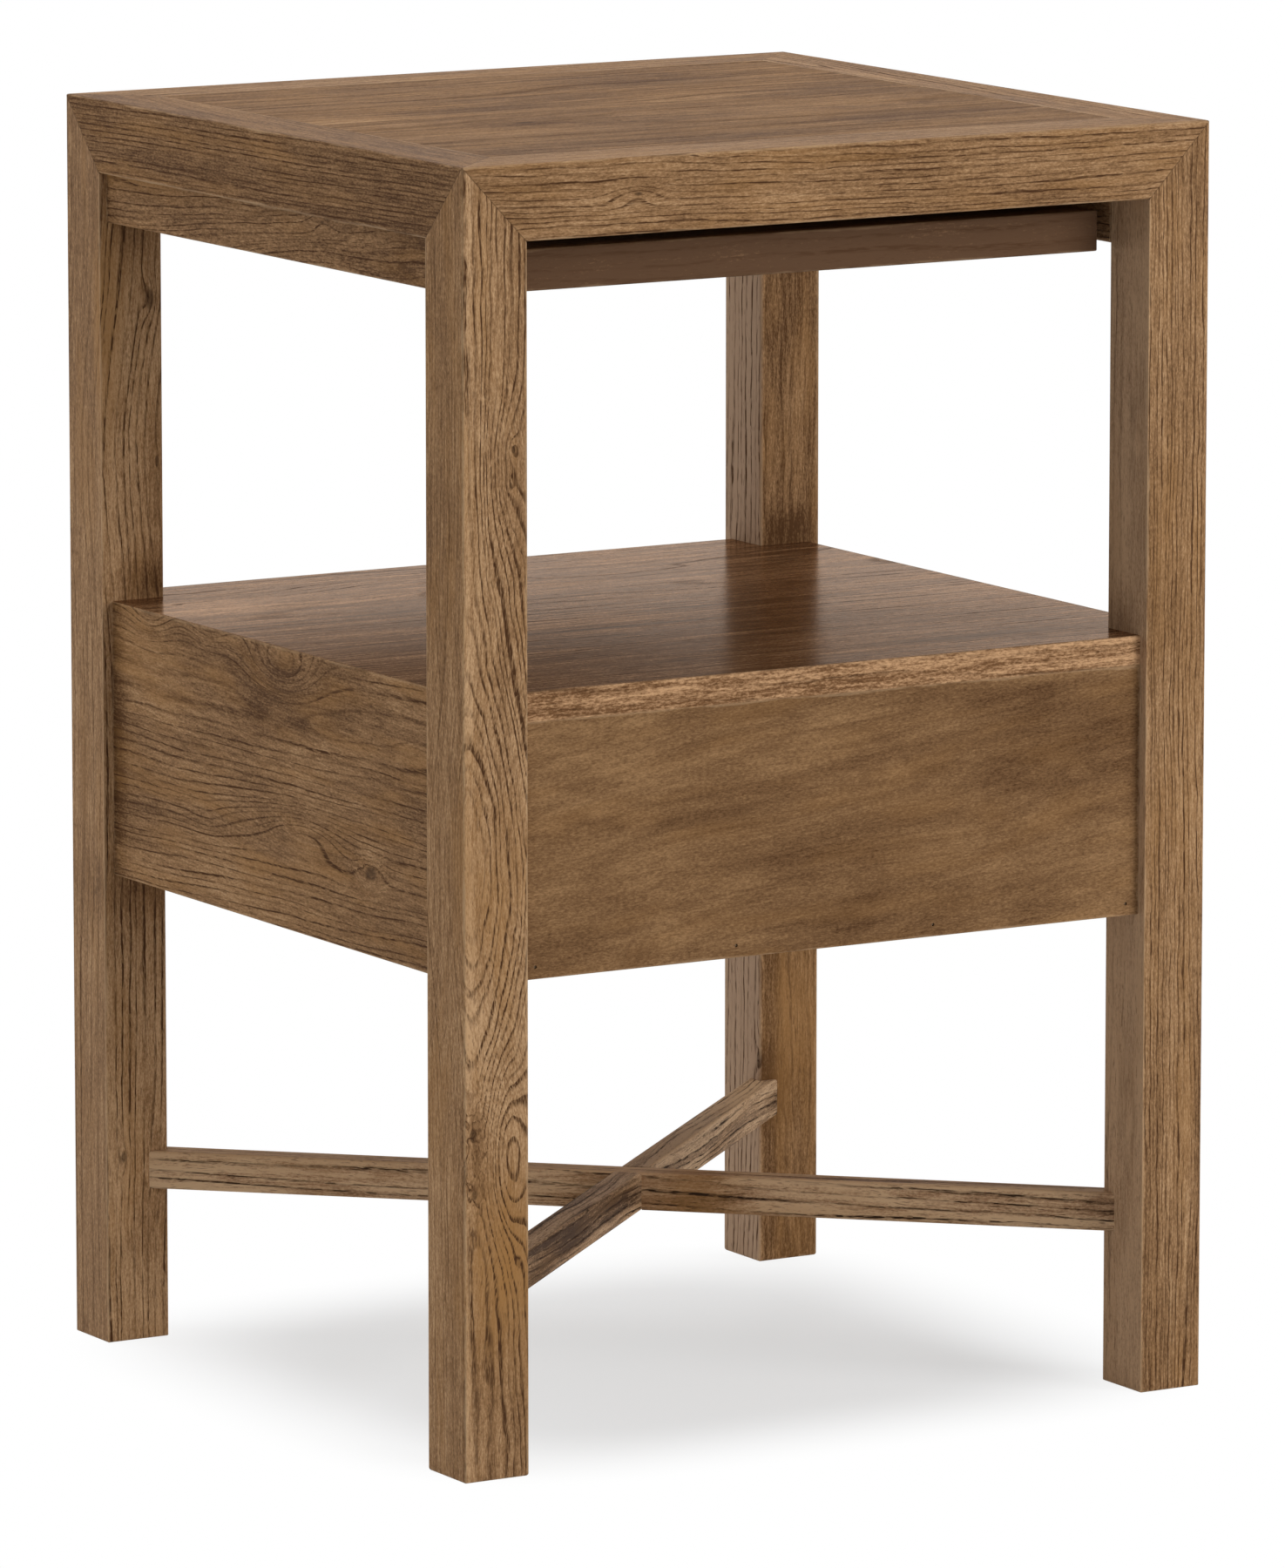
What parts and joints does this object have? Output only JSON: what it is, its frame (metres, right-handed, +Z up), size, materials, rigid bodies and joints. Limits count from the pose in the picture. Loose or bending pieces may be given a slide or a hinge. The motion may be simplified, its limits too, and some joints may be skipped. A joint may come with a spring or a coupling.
{
  "type": "side table with drawer",
  "caption": "Square-legged oak side table with a mitred frame top, pull-out shelf, open shelf above a drawer case, and crossed stretchers.",
  "frame": {"origin": "on the floor, under the middle of the table", "axes": "+Z up, the drawer and the pull-out shelf open towards -Y, +X to the right as seen from the front (looking along +Y)"},
  "size_m": [0.457, 0.432, 0.686],
  "materials": {
    "leg_oak": "satin stained oak with open grain along the leg",
    "frame_oak": "satin stained oak with the grain along the rail",
    "panel_veneer": "satin stained oak veneer, grain from left to right",
    "case_veneer": "satin stained oak veneer with horizontal grain",
    "bar_oak": "stained oak with dark streaks",
    "box_wood": "plain clear-coated birch",
    "dowel_beech": "bare turned beech",
    "slide_zinc": "bright zinc-plated pressed steel",
    "ball_steel": "polished steel",
    "screw_zinc": "zinc-plated steel",
    "bumper_rubber": "soft matt rubber"
  },
  "bodies": {
    "table": {"leg_front_left": "leg_oak", "leg_front_right": "leg_oak", "leg_back_left": "leg_oak", "leg_back_right": "leg_oak", "top_rail_front": "frame_oak", "top_rail_back": "frame_oak", "top_rail_left": "frame_oak", "top_rail_right": "frame_oak", "shelf_rail_left": "frame_oak", "shelf_rail_right": "frame_oak", "top_panel": "panel_veneer", "case_top": "case_veneer", "case_bottom": "case_veneer", "case_side_left": "case_veneer", "case_side_right": "case_veneer", "case_back": "case_veneer", "cross_bar_front_left": "bar_oak", "cross_bar_front_right": "bar_oak", "corner_blocks": "box_wood", "slide_packer_left": "box_wood", "slide_packer_right": "box_wood", "mitre_dowels": "dowel_beech", "case_dowels": "dowel_beech", "bar_dowels": "dowel_beech", "shelf_slide_outer_left": "slide_zinc", "shelf_slide_outer_right": "slide_zinc", "drawer_slide_outer_left": "slide_zinc", "drawer_slide_outer_right": "slide_zinc", "block_screws": "screw_zinc", "rail_screws": "screw_zinc", "packer_screws": "screw_zinc", "fixed_slide_screws": "screw_zinc", "case_back_brads": "screw_zinc"},
    "drawer": {"drawer_front": "case_veneer", "drawer_inner_front": "box_wood", "drawer_back": "box_wood", "drawer_bottom": "box_wood", "drawer_side_left": "box_wood", "drawer_side_right": "box_wood", "drawer_bumpers": "bumper_rubber", "drawer_slide_inner_left": "slide_zinc", "drawer_slide_inner_right": "slide_zinc", "box_dowels": "dowel_beech", "front_screws": "screw_zinc", "drawer_slide_screws": "screw_zinc"},
    "drawer_middle_members": {"drawer_slide_middle_left": "slide_zinc", "drawer_slide_middle_right": "slide_zinc"},
    "drawer_outer_cages": {"drawer_outer_cages": "slide_zinc", "drawer_outer_balls": "ball_steel"},
    "drawer_inner_cages": {"drawer_inner_cages": "slide_zinc", "drawer_inner_balls": "ball_steel"},
    "pull_shelf": {"pull_shelf_board": "case_veneer", "pull_shelf_lip": "frame_oak", "shelf_slide_inner_left": "slide_zinc", "shelf_slide_inner_right": "slide_zinc", "shelf_slide_screws": "screw_zinc"},
    "shelf_cages": {"shelf_slide_cages": "slide_zinc", "shelf_slide_balls": "ball_steel"}
  },
  "joints": [
    {"name": "drawer_pull", "type": "slide", "parent": "table", "child": "drawer", "axis": [0, -1, 0], "range_m": [0, 0.3]},
    {"name": "middle_member_slide", "type": "slide", "parent": "table", "child": "drawer_middle_members", "axis": [0, -1, 0], "range_m": [0, 0.15]},
    {"name": "outer_cage_roll", "type": "slide", "parent": "table", "child": "drawer_outer_cages", "axis": [0, -1, 0], "range_m": [0, 0.075]},
    {"name": "inner_cage_roll", "type": "slide", "parent": "table", "child": "drawer_inner_cages", "axis": [0, -1, 0], "range_m": [0, 0.225]},
    {"name": "shelf_pull", "type": "slide", "parent": "table", "child": "pull_shelf", "axis": [0, -1, 0], "range_m": [0, 0.2]},
    {"name": "shelf_cage_roll", "type": "slide", "parent": "table", "child": "shelf_cages", "axis": [0, -1, 0], "range_m": [0, 0.1]}
  ],
  "couplings": [
    {"joint": "middle_member_slide", "follows": "drawer_pull", "ratio": 0.5},
    {"joint": "outer_cage_roll", "follows": "drawer_pull", "ratio": 0.25},
    {"joint": "inner_cage_roll", "follows": "drawer_pull", "ratio": 0.75},
    {"joint": "shelf_cage_roll", "follows": "shelf_pull", "ratio": 0.5}
  ]
}
